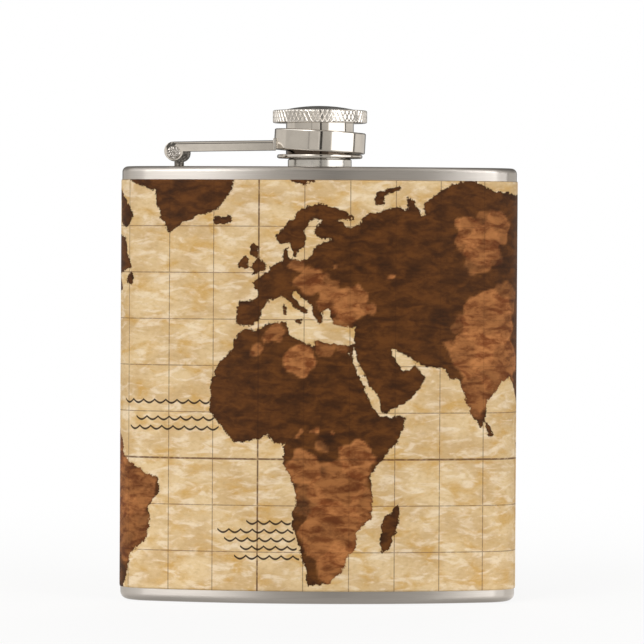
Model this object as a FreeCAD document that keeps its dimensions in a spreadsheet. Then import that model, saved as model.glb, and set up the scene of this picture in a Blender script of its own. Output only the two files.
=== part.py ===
import FreeCAD, Part
import math
import os

import Sketcher

# Curved pocket flask with a captive screw cap.
# Millimetres, +Z up, origin in the middle of the base, convex front face towards -Y.

os.makedirs("parts", exist_ok=True)
doc = FreeCAD.newDocument("Flask")

# ---------------------------------------------------------------- driving sizes
DRIVING = [
    ("body_height", 101.4, "base to top plate"),
    ("half_width", 46.28, "metal, centre to side"),
    ("front_radius", 120.0, "convex front face"),
    ("back_radius", 100.0, "concave back face"),
    ("end_radius", 9.0, "rounded ends of the section"),
    ("back_corner_x", 36.4, "centre of a rear rounded end"),
    ("section_centre_y", 107.26, "common centre of front and back"),
    ("wall", 0.55, "sheet of wall and plates"),
    ("metal_face", 0.0, "inset of the metal's outer face"),
    ("base_level", 0.0, "underside of the base"),
    ("top_skirt", 3.4, "depth of the top pressing"),
    ("base_skirt", 3.2, "depth of the base pressing"),
    ("top_edge", 1.3, "outside radius of the top edge"),
    ("base_edge", 1.7, "outside radius of the base edge"),
    ("wrap_thick", 0.22, "leatherette sleeve"),
    ("wrap_low", 3.0, "lower edge of the sleeve"),
    ("wrap_high", 98.3, "upper edge of the sleeve"),
    ("wrap_seam", 0.4, "open butt seam at the back"),
    ("neck_y", -2.74, "neck axis, middle of the section"),
    ("neck_bore", 5.25, "radius of the pouring hole"),
    ("neck_spigot", 6.4, "radius through the top plate"),
    ("neck_spigot_deep", 1.0, "spigot below the plate's top"),
    ("neck_base", 7.45, "radius of the neck's shoulder"),
    ("neck_base_high", 1.9, "height of the shoulder"),
    ("neck_root", 6.15, "root radius of the outside thread"),
    ("neck_high", 8.6, "rim above the top plate"),
    ("thread_pitch", 1.5, "both threads, right hand"),
    ("thread_crest", 6.65, "crest radius, neck"),
    ("neck_thread_low", 3.2, "middle of the first neck turn"),
    ("neck_thread_high", 4.2, "height covered by the neck turns"),
    ("cap_thread_low", 3.95, "middle of the first cap turn"),
    ("cap_thread_high", 3.4, "height covered by the cap turns"),
    ("cap_crest", 6.35, "crest radius, cap"),
    ("ridge_root_half", 0.36, "half width of a thread ridge, root"),
    ("ridge_crest_half", 0.16, "half width of a thread ridge, crest"),
    ("insert_bore", 7.0, "inside the threaded insert"),
    ("insert_low", 2.3, "lower rim of the insert"),
    ("insert_ceiling", 9.8, "inside top of the insert"),
    ("insert_high", 10.3, "outside top of the insert"),
    ("barrel_inner", 7.35, "barrel, inside radius"),
    ("barrel_outer", 7.9, "barrel, outside radius"),
    ("barrel_low", 2.0, "lower rim of barrel and flange"),
    ("barrel_high", 10.6, "upper rim of the barrel, in the head"),
    ("flange_outer", 9.95, "retaining flange"),
    ("flange_high", 2.9, "top of the retaining flange"),
    ("head_outer", 11.0, "knurled head"),
    ("head_low", 10.23, "underside of the head"),
    ("head_band", 12.75, "top of the knurled band"),
    ("head_high", 13.3, "inner rim of the head's shoulder"),
    ("dome_radius", 8.1, "pressed button in the head"),
    ("dome_seat", 12.5, "floor of the button's recess"),
    ("dome_edge", 13.36, "edge of the button"),
    ("dome_high", 14.26, "middle of the button"),
    ("gasket_radius", 6.9, "silicone sealing disc"),
    ("collar_inner", 8.4, "swivel collar"),
    ("collar_outer", 10.65, "swivel collar"),
    ("collar_half", 2.45, "half height of the collar"),
    ("collar_mid", 5.98, "middle of the collar above the plate"),
    ("collar_tilt", 3.0, "degrees, side of the hinge up"),
    ("pivot_x", -34.0, "hinge axis"),
    ("pivot_high", 3.1, "hinge axis above the top plate"),
    ("arm_rise", 1.1, "degrees, slope of the arm when closed"),
    ("arm_width", 6.0, "outside, across the channel"),
    ("arm_sheet", 0.5, "sheet of the channel"),
    ("arm_top", 2.62, "top face, above the pivot"),
    ("arm_under", 0.3, "lower edge, above the pivot"),
    ("arm_reach", 25.2, "blank end, before the collar's cut"),
    ("ear_radius", 2.2, "rounded ear"),
    ("ear_lift", 0.42, "ear's middle, above the pivot"),
    ("web_start", 0.9, "start of the web from the pivot"),
    ("bead", 0.45, "braze fillet"),
    ("bead_start", 23.2, "from the pivot"),
    ("post_x", -32.8, "stem of the hinge post"),
    ("post_radius", 1.125, "stem"),
    ("post_spigot", 0.9, "stem through the plate"),
    ("tongue", 4.8, "post tongue, between the ears"),
    ("knuckle", 1.9, "round end of the tongue"),
    ("lobe_radius", 2.1, "round lobe of the tongue"),
    ("lobe_shift", 1.7, "lobe's middle, from the pivot"),
    ("lobe_flat", 1.8, "flat under the web, above the pivot"),
    ("pin_radius", 0.7, "rivet shank"),
    ("pin_hole", 0.75, "holes for the rivet"),
    ("pin_head", 1.6, "peened heads"),
    ("pin_gap", 0.03, "under each head"),
    ("rim_round", 0.35, "rounding of flange and collar"),
    ("chamfer", 0.3, "chamfer of shoulder and head"),
    ("fine_chamfer", 0.2, "chamfer of the neck's rim"),
    ("thread_overlap", 0.1, "how far a ridge's foot sinks into its wall"),
    ("mouth_high", 0.4, "flare at the insert's mouth, height"),
    ("mouth_wide", 0.2, "flare at the insert's mouth, outwards"),
    ("shoulder_in", 0.45, "slope above the knurled band, inwards"),
    ("peen_peak", 0.5, "thickness of a peened head"),
    ("peen_crown", 0.42, "peened head at its crown's edge"),
    ("peen_crown_in", 0.7, "crown's edge, in from the rim"),
    ("peen_side", 0.2, "peened head at its rounded rim"),
    ("peen_side_in", 0.12, "rounded rim, in from the edge"),
    ("spare", 2.0, "how far cuts run past the metal"),
    ("through", 30.0, "cuts that go right through"),
    ("lip_round", 0.15, "rounding inside the collar"),
]

# Sizes that follow from the ones above; each is a formula in the sheet.
DERIVED = [
    ("front_corner_x", "half_width - end_radius"),
    ("wall_low", "base_skirt"),
    ("wall_tall", "body_height - top_skirt - base_skirt"),
    ("top_low", "body_height - top_skirt"),
    ("wrap_tall", "wrap_high - wrap_low"),
    ("over_wrap", "0 - wrap_thick"),
    ("spigot_under", "0 - neck_spigot_deep"),
    ("base_soft", "neck_base_high - chamfer"),
    ("base_soft_r", "neck_base - chamfer"),
    ("rim_soft", "neck_high - fine_chamfer"),
    ("rim_soft_r", "neck_root - fine_chamfer"),
    ("neck_ridge_foot", "neck_root - thread_overlap"),
    ("neck_ridge_a", "neck_thread_low - ridge_root_half"),
    ("neck_ridge_b", "neck_thread_low - ridge_crest_half"),
    ("neck_ridge_c", "neck_thread_low + ridge_crest_half"),
    ("neck_ridge_d", "neck_thread_low + ridge_root_half"),
    ("cap_ridge_foot", "insert_bore + thread_overlap"),
    ("cap_ridge_a", "cap_thread_low - ridge_root_half"),
    ("cap_ridge_b", "cap_thread_low - ridge_crest_half"),
    ("cap_ridge_c", "cap_thread_low + ridge_crest_half"),
    ("cap_ridge_d", "cap_thread_low + ridge_root_half"),
    ("insert_mouth", "insert_low + mouth_high"),
    ("insert_mouth_r", "insert_bore + mouth_wide"),
    ("head_under", "head_low + chamfer"),
    ("head_chamfer_r", "head_outer - chamfer"),
    ("head_shoulder", "head_band + chamfer"),
    ("head_shoulder_r", "head_outer - shoulder_in"),
    ("gasket_low", "neck_high"),
    ("collar_low", "0 - collar_half"),
    ("web_under", "arm_top - arm_sheet"),
    ("channel_width", "arm_width - 2 * arm_sheet"),
    ("bead_top", "arm_top + bead"),
    ("bead_length", "arm_reach - bead_start"),
    ("knuckle_x", "pivot_x - post_x"),
    ("knuckle_room", "ear_radius + spare"),
    ("arm_open", "arm_top + spare"),
    ("half_bead", "arm_width / 2 + bead"),
    ("post_tall", "pivot_high - lobe_radius / 2"),
    ("lobe_x", "knuckle_x + lobe_shift"),
    ("lobe_top", "pivot_high + lobe_flat"),
    ("lobe_cut", "lobe_top + spare"),
    ("half_arm", "arm_width / 2"),
    ("head_inside", "half_arm + pin_gap"),
    ("head_round", "head_inside + peen_side"),
    ("head_crown", "head_inside + peen_crown"),
    ("head_outside", "head_inside + peen_peak"),
    ("head_round_r", "pin_head - peen_side_in"),
    ("head_crown_r", "pin_head - peen_crown_in"),
]

sheet = doc.addObject("Spreadsheet::Sheet", "Dims")
row = 1
for alias, size, note in DRIVING:
    sheet.set("A%d" % row, alias)
    sheet.set("B%d" % row, "%g" % size)
    sheet.set("C%d" % row, note)
    sheet.setAlias("B%d" % row, alias)
    row += 1
for alias, formula in DERIVED:
    sheet.set("A%d" % row, alias)
    sheet.set("B%d" % row, "=" + formula)
    sheet.setAlias("B%d" % row, alias)
    row += 1
doc.recompute()


def dim(alias):
    """Value of a size in the sheet; a leading minus turns the sign."""
    if alias.startswith("-"):
        return -float(getattr(sheet, alias[1:]))
    return float(getattr(sheet, alias))


def bind(alias):
    """The same size as an expression."""
    if alias.startswith("-"):
        return "-Dims." + alias[1:]
    return "Dims." + alias


def origin_item(body, role):
    for item in body.Origin.OriginFeatures:
        if item.Role == role:
            return item


def new_body(label, place=()):
    """A body with its own label; place is pairs of placement field and size."""
    body = doc.addObject("PartDesign::Body", label)
    for field, expression in place:
        body.setExpression("Placement." + field, expression)
    return body


def new_sketch(body, role, name, lift=None):
    sketch = body.newObject("Sketcher::SketchObject", name)
    sketch.AttachmentSupport = [(origin_item(body, role), "")]
    sketch.MapMode = "FlatFace"
    if lift:
        sketch.setExpression("AttachmentOffset.Base.z", bind(lift))
    return sketch


def fix_point(sketch, index, vertex, x, y):
    """Hold one vertex at x, y; each is a number or the name of a size."""
    for kind, value in (("DistanceX", x), ("DistanceY", y)):
        if isinstance(value, str):
            number = sketch.addConstraint(
                Sketcher.Constraint(kind, -1, 1, index, vertex, dim(value)))
            sketch.setExpression("Constraints[%d]" % number, bind(value))
        else:
            sketch.addConstraint(Sketcher.Constraint(kind, -1, 1, index, vertex, value))


def number_of(value):
    return dim(value) if isinstance(value, str) else float(value)


def outline(sketch, corners):
    """Closed outline of straight lines through corners (x, y)."""
    points = [FreeCAD.Vector(number_of(x), number_of(y), 0) for x, y in corners]
    count = len(points)
    first = sketch.GeometryCount
    for i in range(count):
        sketch.addGeometry(Part.LineSegment(points[i], points[(i + 1) % count]))
    for i in range(count):
        sketch.addConstraint(Sketcher.Constraint(
            "Coincident", first + i, 2, first + (i + 1) % count, 1))
    for i in range(count):
        fix_point(sketch, first + i, 1, corners[i][0], corners[i][1])


def circle(sketch, x, y, radius):
    index = sketch.addGeometry(Part.Circle(
        FreeCAD.Vector(number_of(x), number_of(y), 0), FreeCAD.Vector(0, 0, 1), dim(radius)))
    fix_point(sketch, index, 3, x, y)
    number = sketch.addConstraint(Sketcher.Constraint("Radius", index, dim(radius)))
    sketch.setExpression("Constraints[%d]" % number, bind(radius))


def arc_about(x, y, radius, start, end):
    ring = Part.Circle(FreeCAD.Vector(x, y, 0), FreeCAD.Vector(0, 0, 1), radius)
    return Part.ArcOfCircle(ring, start, end)


def kidney(sketch, inset):
    """Curved section: concentric front and back arcs joined by rounded ends.

    inset names the distance inwards from the metal's outer face."""
    away = dim(inset)
    centre_y = dim("section_centre_y")
    front = dim("front_radius") - away
    back = dim("back_radius") + away
    corner = dim("end_radius") - away
    front_ring = dim("front_radius") - dim("end_radius")
    back_ring = dim("back_radius") + dim("end_radius")
    front_x = dim("front_corner_x")
    back_x = dim("back_corner_x")
    front_turn = math.asin(front_x / front_ring)
    back_turn = math.asin(back_x / back_ring)
    front_y = centre_y - front_ring * math.cos(front_turn)
    back_y = centre_y - back_ring * math.cos(back_turn)
    slope = math.atan2(front_x - back_x, back_y - front_y)
    turn = math.pi
    right_front = FreeCAD.Vector(front_x, front_y, 0)
    right_back = FreeCAD.Vector(back_x, back_y, 0)
    outward = FreeCAD.Vector(math.cos(slope), math.sin(slope), 0) * corner
    left_front = FreeCAD.Vector(-front_x, front_y, 0)
    left_back = FreeCAD.Vector(-back_x, back_y, 0)
    mirrored = FreeCAD.Vector(-outward.x, outward.y, 0)
    base = sketch.GeometryCount
    sketch.addGeometry(arc_about(0, centre_y, front, 1.5 * turn - front_turn,
                                 1.5 * turn + front_turn))
    sketch.addGeometry(arc_about(front_x, front_y, corner, front_turn - 0.5 * turn, slope))
    sketch.addGeometry(Part.LineSegment(right_front + outward, right_back + outward))
    sketch.addGeometry(arc_about(back_x, back_y, corner, slope, 0.5 * turn + back_turn))
    sketch.addGeometry(arc_about(0, centre_y, back, 1.5 * turn - back_turn,
                                 1.5 * turn + back_turn))
    sketch.addGeometry(arc_about(-back_x, back_y, corner, 0.5 * turn - back_turn,
                                 turn - slope))
    sketch.addGeometry(Part.LineSegment(left_back + mirrored, left_front + mirrored))
    sketch.addGeometry(arc_about(-front_x, front_y, corner, turn - slope,
                                 1.5 * turn - front_turn))
    joints = [(0, 2, 1, 1), (1, 2, 2, 1), (2, 2, 3, 1), (3, 2, 4, 2),
              (4, 1, 5, 1), (5, 2, 6, 1), (6, 2, 7, 1), (7, 2, 0, 1)]
    for one, end_one, two, end_two in joints:
        sketch.addConstraint(Sketcher.Constraint(
            "Tangent", base + one, end_one, base + two, end_two))
    fix_point(sketch, base, 3, 0.0, "section_centre_y")
    sketch.addConstraint(Sketcher.Constraint("Coincident", base, 3, base + 4, 3))
    radii = [(0, front, "Dims.front_radius - "), (4, back, "Dims.back_radius + ")]
    for index in (1, 3, 5, 7):
        radii.append((index, corner, "Dims.end_radius - "))
    for index, size, expression in radii:
        number = sketch.addConstraint(Sketcher.Constraint("Radius", base + index, size))
        sketch.setExpression("Constraints[%d]" % number, expression + "Dims." + inset)
    sides = [(1, "front_corner_x"), (3, "back_corner_x"),
             (5, "-back_corner_x"), (7, "-front_corner_x")]
    for index, alias in sides:
        number = sketch.addConstraint(Sketcher.Constraint(
            "DistanceX", -1, 1, base + index, 3, dim(alias)))
        sketch.setExpression("Constraints[%d]" % number, bind(alias))


def pad(body, sketch, name, length, both_ways=False):
    feature = body.newObject("PartDesign::Pad", name)
    feature.Profile = sketch
    feature.setExpression("Length", bind(length))
    feature.SideType = "Symmetric" if both_ways else "One side"
    sketch.Visibility = False
    return feature


def pocket(body, sketch, name, length, both_ways=False):
    feature = body.newObject("PartDesign::Pocket", name)
    feature.Profile = sketch
    feature.setExpression("Length", bind(length))
    feature.SideType = "Symmetric" if both_ways else "One side"
    sketch.Visibility = False
    return feature


def spin(body, sketch, name, axis="Z_Axis"):
    feature = body.newObject("PartDesign::Revolution", name)
    feature.Profile = sketch
    feature.ReferenceAxis = (origin_item(body, axis), [""])
    feature.Angle = 360
    sketch.Visibility = False
    return feature


def turned(label, corners, place):
    """A turned piece: the outline spun about its own Z."""
    body = new_body(label, place)
    sketch = new_sketch(body, "XZ_Plane", label + "_section")
    outline(sketch, corners)
    spin(body, sketch, label + "_turned")
    doc.recompute()
    return body


def thread(body, name, corners, height):
    """One right-hand ridge swept round the body's own Z."""
    sketch = new_sketch(body, "XZ_Plane", name + "_section")
    outline(sketch, corners)
    ridge = body.newObject("PartDesign::AdditiveHelix", name)
    ridge.Profile = sketch
    ridge.ReferenceAxis = (origin_item(body, "Z_Axis"), [""])
    ridge.Mode = 0
    ridge.setExpression("Pitch", "Dims.thread_pitch")
    ridge.setExpression("Height", bind(height))
    sketch.Visibility = False
    doc.recompute()


def edges_at(shape, test):
    """Names of the edges whose points all pass the test."""
    names = []
    for number, edge in enumerate(shape.Edges, 1):
        samples = [edge.valueAt(edge.FirstParameter
                                + k * (edge.LastParameter - edge.FirstParameter) / 4.0)
                   for k in range(5)]
        if all(test(point) for point in samples):
            names.append("Edge%d" % number)
    return names


def round_edges(body, name, test, size):
    source = body.Tip
    feature = body.newObject("PartDesign::Fillet", name)
    feature.Base = (source, edges_at(source.Shape, test))
    feature.setExpression("Radius", bind(size))
    doc.recompute()
    return feature


def radius_of(point):
    return math.hypot(point.x, point.y)


def near(a, b):
    return abs(a - b) < 1e-4


# ---------------------------------------------------------------- flask body
body_wall = new_body("body_wall")
section = new_sketch(body_wall, "XY_Plane", "wall_section", "wall_low")
kidney(section, "metal_face")
kidney(section, "wall")
pad(body_wall, section, "wall_tube", "wall_tall")

vinyl_wrap = new_body("vinyl_wrap")
section = new_sketch(vinyl_wrap, "XY_Plane", "wrap_section", "wrap_low")
kidney(section, "over_wrap")
kidney(section, "metal_face")
pad(vinyl_wrap, section, "wrap_sleeve", "wrap_tall")
doc.recompute()
seam = new_sketch(vinyl_wrap, "XZ_Plane", "wrap_seam_section")
outline(seam, [("-wrap_seam", "wrap_low"), (0.0, "wrap_low"),
               (0.0, "wrap_high"), ("-wrap_seam", "wrap_high")])
pocket(vinyl_wrap, seam, "wrap_seam_gap", "through")
doc.recompute()


def pressed_plate(label, low, skirt, edge, edge_z, open_z):
    """A shallow pan: a solid slab, its outer edge rounded, then hollowed."""
    body = new_body(label)
    outer = new_sketch(body, "XY_Plane", label + "_section", low)
    kidney(outer, "metal_face")
    pad(body, outer, label + "_slab", skirt)
    doc.recompute()
    level = dim(edge_z)
    round_edges(body, label + "_edge", lambda point: near(point.z, level), edge)
    source = body.Tip
    open_level = dim(open_z)
    open_faces = []
    for number, face in enumerate(source.Shape.Faces, 1):
        flat = face.Surface.TypeId == "Part::GeomPlane"
        if flat and near(face.CenterOfMass.z, open_level):
            open_faces.append("Face%d" % number)
    shell = body.newObject("PartDesign::Thickness", label + "_shell")
    shell.Base = (source, open_faces)
    shell.setExpression("Value", "Dims.wall")
    shell.Reversed = True
    shell.Join = 0
    doc.recompute()
    return body


top_plate = pressed_plate("top_plate", "top_low", "top_skirt", "top_edge",
                          "body_height", "top_low")
holes = new_sketch(top_plate, "XY_Plane", "top_holes", "body_height")
circle(holes, 0.0, "neck_y", "neck_spigot")
circle(holes, "post_x", "neck_y", "post_spigot")
pocket(top_plate, holes, "top_holes_cut", "top_edge")
doc.recompute()

bottom_plate = pressed_plate("bottom_plate", "base_level", "base_skirt", "base_edge",
                             "base_level", "base_skirt")

# ---------------------------------------------------------------- neck and cap
ON_NECK = [("Base.y", "Dims.neck_y"), ("Base.z", "Dims.body_height")]

neck_spout = turned("neck_spout", [
    ("neck_bore", "spigot_under"), ("neck_spigot", "spigot_under"), ("neck_spigot", 0.0),
    ("neck_base", 0.0), ("neck_base", "base_soft"), ("base_soft_r", "neck_base_high"),
    ("neck_root", "neck_base_high"), ("neck_root", "rim_soft"), ("rim_soft_r", "neck_high"),
    ("neck_bore", "neck_high")], ON_NECK)
thread(neck_spout, "neck_ridge", [
    ("neck_ridge_foot", "neck_ridge_a"), ("thread_crest", "neck_ridge_b"),
    ("thread_crest", "neck_ridge_c"), ("neck_ridge_foot", "neck_ridge_d")], "neck_thread_high")

cap_thread_insert = turned("cap_thread_insert", [
    ("insert_mouth_r", "insert_low"), ("barrel_inner", "insert_low"),
    ("barrel_inner", "insert_high"), (0.0, "insert_high"), (0.0, "insert_ceiling"),
    ("insert_bore", "insert_ceiling"), ("insert_bore", "insert_mouth")], ON_NECK)
thread(cap_thread_insert, "cap_ridge", [
    ("cap_ridge_foot", "cap_ridge_a"), ("cap_ridge_foot", "cap_ridge_d"),
    ("cap_crest", "cap_ridge_c"), ("cap_crest", "cap_ridge_b")], "cap_thread_high")

cap_barrel = turned("cap_barrel", [
    ("barrel_inner", "barrel_low"), ("barrel_outer", "barrel_low"),
    ("barrel_outer", "barrel_high"), ("barrel_inner", "barrel_high")], ON_NECK)

retaining_flange = turned("retaining_flange", [
    ("barrel_outer", "barrel_low"), ("flange_outer", "barrel_low"),
    ("flange_outer", "flange_high"), ("barrel_outer", "flange_high")], ON_NECK)
rim = dim("flange_outer")
round_edges(retaining_flange, "flange_rim", lambda point: near(radius_of(point), rim)
            and (near(point.z, dim("barrel_low")) or near(point.z, dim("flange_high"))),
            "rim_round")

cap_head = turned("cap_head", [
    (0.0, "barrel_high"), ("barrel_outer", "barrel_high"), ("barrel_outer", "head_low"),
    ("head_chamfer_r", "head_low"), ("head_outer", "head_under"), ("head_outer", "head_band"),
    ("head_shoulder_r", "head_shoulder"), ("dome_radius", "head_high"),
    ("dome_radius", "dome_seat"), (0.0, "dome_seat")], ON_NECK)

cap_dome = new_body("cap_dome", ON_NECK)
section = new_sketch(cap_dome, "XZ_Plane", "dome_section")
edge_r = dim("dome_radius")
rise = dim("dome_high") - dim("dome_edge")
crown = (edge_r * edge_r + rise * rise) / (2.0 * rise)
lines = [((0.0, "dome_seat"), ("dome_radius", "dome_seat")),
         (("dome_radius", "dome_seat"), ("dome_radius", "dome_edge")),
         ((0.0, "dome_high"), (0.0, "dome_seat"))]
for start, end in lines:
    section.addGeometry(Part.LineSegment(
        FreeCAD.Vector(number_of(start[0]), number_of(start[1]), 0),
        FreeCAD.Vector(number_of(end[0]), number_of(end[1]), 0)))
section.addGeometry(arc_about(0.0, dim("dome_high") - crown, crown,
                              math.atan2(crown - rise, edge_r), math.pi / 2))
for one, end_one, two, end_two in [(0, 2, 1, 1), (1, 2, 3, 1), (3, 2, 2, 1), (2, 2, 0, 1)]:
    section.addConstraint(Sketcher.Constraint("Coincident", one, end_one, two, end_two))
fix_point(section, 0, 1, 0.0, "dome_seat")
fix_point(section, 1, 1, "dome_radius", "dome_seat")
fix_point(section, 1, 2, "dome_radius", "dome_edge")
fix_point(section, 2, 1, 0.0, "dome_high")
section.addConstraint(Sketcher.Constraint("PointOnObject", 3, 3, -2))
spin(cap_dome, section, "dome_turned")

cap_gasket = turned("cap_gasket", [
    (0.0, "gasket_low"), ("gasket_radius", "gasket_low"),
    ("gasket_radius", "insert_ceiling"), (0.0, "insert_ceiling")], ON_NECK)

# ---------------------------------------------------------------- captive arm
TILTED = [("Base.y", "Dims.neck_y"), ("Base.z", "Dims.body_height + Dims.collar_mid"),
          ("Rotation.Axis.x", "0"), ("Rotation.Axis.y", "1"), ("Rotation.Axis.z", "0"),
          ("Rotation.Angle", "Dims.collar_tilt")]
swivel_collar = turned("swivel_collar", [
    ("collar_inner", "collar_low"), ("collar_outer", "collar_low"),
    ("collar_outer", "collar_half"), ("collar_inner", "collar_half")], TILTED)
outer = dim("collar_outer")
inner = dim("collar_inner")
half = dim("collar_half")
round_edges(swivel_collar, "collar_rims",
            lambda point: near(radius_of(point), outer) and near(abs(point.z), half),
            "rim_round")
round_edges(swivel_collar, "collar_lips",
            lambda point: near(radius_of(point), inner) and near(abs(point.z), half),
            "lip_round")

ON_PIVOT = [("Base.x", "Dims.pivot_x"), ("Base.y", "Dims.neck_y"),
            ("Base.z", "Dims.body_height + Dims.pivot_high"),
            ("Rotation.Axis.x", "0"), ("Rotation.Axis.y", "1"), ("Rotation.Axis.z", "0"),
            ("Rotation.Angle", "-Dims.arm_rise")]


def collar_cutter(name):
    """The collar's outside, used to trim what meets it."""
    cylinder = doc.addObject("Part::Cylinder", name)
    cylinder.setExpression("Radius", "Dims.collar_outer")
    cylinder.setExpression("Height", "2 * Dims.collar_outer")
    cylinder.setExpression("Placement.Base.x", "0 - Dims.collar_outer * sin(Dims.collar_tilt)")
    cylinder.setExpression("Placement.Base.y", "Dims.neck_y")
    cylinder.setExpression(
        "Placement.Base.z",
        "Dims.body_height + Dims.collar_mid - Dims.collar_outer * cos(Dims.collar_tilt)")
    cylinder.setExpression("Placement.Rotation.Axis.x", "0")
    cylinder.setExpression("Placement.Rotation.Axis.y", "1")
    cylinder.setExpression("Placement.Rotation.Axis.z", "0")
    cylinder.setExpression("Placement.Rotation.Angle", "Dims.collar_tilt")
    return cylinder


def trimmed(label, base):
    cut = doc.addObject("Part::Cut", label)
    cut.Base = base
    cut.Tool = collar_cutter(label + "_trim")
    doc.recompute()
    return cut


arm_blank = new_body("arm_blank", ON_PIVOT)
strip = new_sketch(arm_blank, "XZ_Plane", "arm_strip")
outline(strip, [(0.0, "arm_under"), ("arm_reach", "arm_under"), ("arm_reach", "arm_top"),
                (0.0, "arm_top")])
pad(arm_blank, strip, "arm_strip_pad", "arm_width", both_ways=True)
ear = new_sketch(arm_blank, "XZ_Plane", "arm_ear")
circle(ear, 0.0, "ear_lift", "ear_radius")
pad(arm_blank, ear, "arm_ear_pad", "arm_width", both_ways=True)
doc.recompute()
fold = new_sketch(arm_blank, "XZ_Plane", "arm_channel")
outline(fold, [("-knuckle_room", "-knuckle_room"), ("arm_reach", "-knuckle_room"),
               ("arm_reach", "web_under"), ("web_start", "web_under"),
               ("web_start", "arm_open"), ("-knuckle_room", "arm_open")])
pocket(arm_blank, fold, "arm_channel_cut", "channel_width", both_ways=True)
pin_hole = new_sketch(arm_blank, "XZ_Plane", "arm_pin_hole")
circle(pin_hole, 0.0, 0.0, "pin_hole")
pocket(arm_blank, pin_hole, "arm_pin_cut", "through", both_ways=True)
doc.recompute()
captive_arm = trimmed("captive_arm", arm_blank)

bead_blank = new_body("bead_blank", ON_PIVOT)
around = new_sketch(bead_blank, "YZ_Plane", "bead_section", "bead_start")
outline(around, [("-half_bead", "arm_under"), ("-half_arm", "arm_under"),
                 ("-half_arm", "arm_top"), ("half_arm", "arm_top"),
                 ("half_arm", "arm_under"), ("half_bead", "arm_under"),
                 ("half_bead", "bead_top"), ("-half_bead", "bead_top")])
pad(bead_blank, around, "bead_pad", "bead_length")
doc.recompute()
arm_braze = trimmed("arm_braze", bead_blank)

# ---------------------------------------------------------------- hinge
hinge_post = new_body("hinge_post", [
    ("Base.x", "Dims.post_x"), ("Base.y", "Dims.neck_y"), ("Base.z", "Dims.body_height")])
stem = new_sketch(hinge_post, "XY_Plane", "post_stem")
circle(stem, 0.0, 0.0, "post_radius")
pad(hinge_post, stem, "post_stem_pad", "post_tall")
tip = new_sketch(hinge_post, "XY_Plane", "post_tip")
circle(tip, 0.0, 0.0, "post_spigot")
tip_pad = pad(hinge_post, tip, "post_tip_pad", "wall")
tip_pad.Reversed = True
knuckle = new_sketch(hinge_post, "XZ_Plane", "post_knuckle")
circle(knuckle, "knuckle_x", "pivot_high", "knuckle")
pad(hinge_post, knuckle, "post_knuckle_pad", "tongue", both_ways=True)
lobe = new_sketch(hinge_post, "XZ_Plane", "post_lobe")
circle(lobe, "lobe_x", "pivot_high", "lobe_radius")
pad(hinge_post, lobe, "post_lobe_pad", "tongue", both_ways=True)
flat = new_sketch(hinge_post, "XZ_Plane", "post_flat")
outline(flat, [("-knuckle_room", "lobe_top"), ("knuckle_room", "lobe_top"),
               ("knuckle_room", "lobe_cut"), ("-knuckle_room", "lobe_cut")])
pocket(hinge_post, flat, "post_flat_cut", "through", both_ways=True)
bore = new_sketch(hinge_post, "XZ_Plane", "post_bore")
circle(bore, "knuckle_x", "pivot_high", "pin_hole")
pocket(hinge_post, bore, "post_bore_cut", "through", both_ways=True)
doc.recompute()

hinge_pin = new_body("hinge_pin", ON_PIVOT)
rivet = new_sketch(hinge_pin, "XY_Plane", "rivet_section")
outline(rivet, [(0.0, "-head_outside"), ("head_crown_r", "-head_crown"),
                ("head_round_r", "-head_round"), ("pin_head", "-head_inside"),
                ("pin_radius", "-head_inside"), ("pin_radius", "head_inside"),
                ("pin_head", "head_inside"), ("head_round_r", "head_round"),
                ("head_crown_r", "head_crown"), (0.0, "head_outside")])
spin(hinge_pin, rivet, "rivet_turned", "Y_Axis")
doc.recompute()

# ---------------------------------------------------------------- checks and files
NODES = [body_wall, top_plate, bottom_plate, vinyl_wrap, neck_spout, hinge_post, hinge_pin,
         captive_arm, swivel_collar, arm_braze, cap_gasket, cap_head, cap_dome, cap_barrel,
         cap_thread_insert, retaining_flange]

for item in doc.Objects:
    if "Invalid" in item.State or "Error" in item.State:
        raise RuntimeError("%s: %s" % (item.Label, item.State))
for node in NODES:
    shape = node.Shape
    if shape.isNull() or not shape.isValid() or len(shape.Solids) != 1:
        raise RuntimeError("%s: bad shape, %d solids" % (node.Label, len(shape.Solids)))
    box = shape.BoundBox
    print("%-20s %9.2f mm3  x %7.2f %7.2f  y %7.2f %7.2f  z %7.2f %7.2f" % (
        node.Label, shape.Volume, box.XMin, box.XMax, box.YMin, box.YMax, box.ZMin, box.ZMax))
    shape.exportStep("parts/%s.step" % node.Label)
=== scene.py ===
import math

import bmesh
import bpy
import numpy as np
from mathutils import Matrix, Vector, noise


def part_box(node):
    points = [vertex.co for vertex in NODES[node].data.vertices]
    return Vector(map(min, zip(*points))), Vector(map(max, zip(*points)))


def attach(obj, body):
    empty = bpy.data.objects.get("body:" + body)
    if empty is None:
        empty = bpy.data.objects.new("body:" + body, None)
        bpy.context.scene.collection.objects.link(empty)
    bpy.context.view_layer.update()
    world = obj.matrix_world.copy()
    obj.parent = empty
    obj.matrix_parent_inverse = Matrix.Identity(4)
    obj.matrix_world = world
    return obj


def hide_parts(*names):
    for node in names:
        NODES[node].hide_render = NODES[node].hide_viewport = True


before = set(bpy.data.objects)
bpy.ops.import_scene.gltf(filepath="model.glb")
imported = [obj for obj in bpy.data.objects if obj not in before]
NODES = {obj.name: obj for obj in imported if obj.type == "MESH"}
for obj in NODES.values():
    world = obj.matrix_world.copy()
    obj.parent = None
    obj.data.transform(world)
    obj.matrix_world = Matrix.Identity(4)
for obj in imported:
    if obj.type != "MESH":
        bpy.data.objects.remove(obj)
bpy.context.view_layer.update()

MM = 0.001

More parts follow.
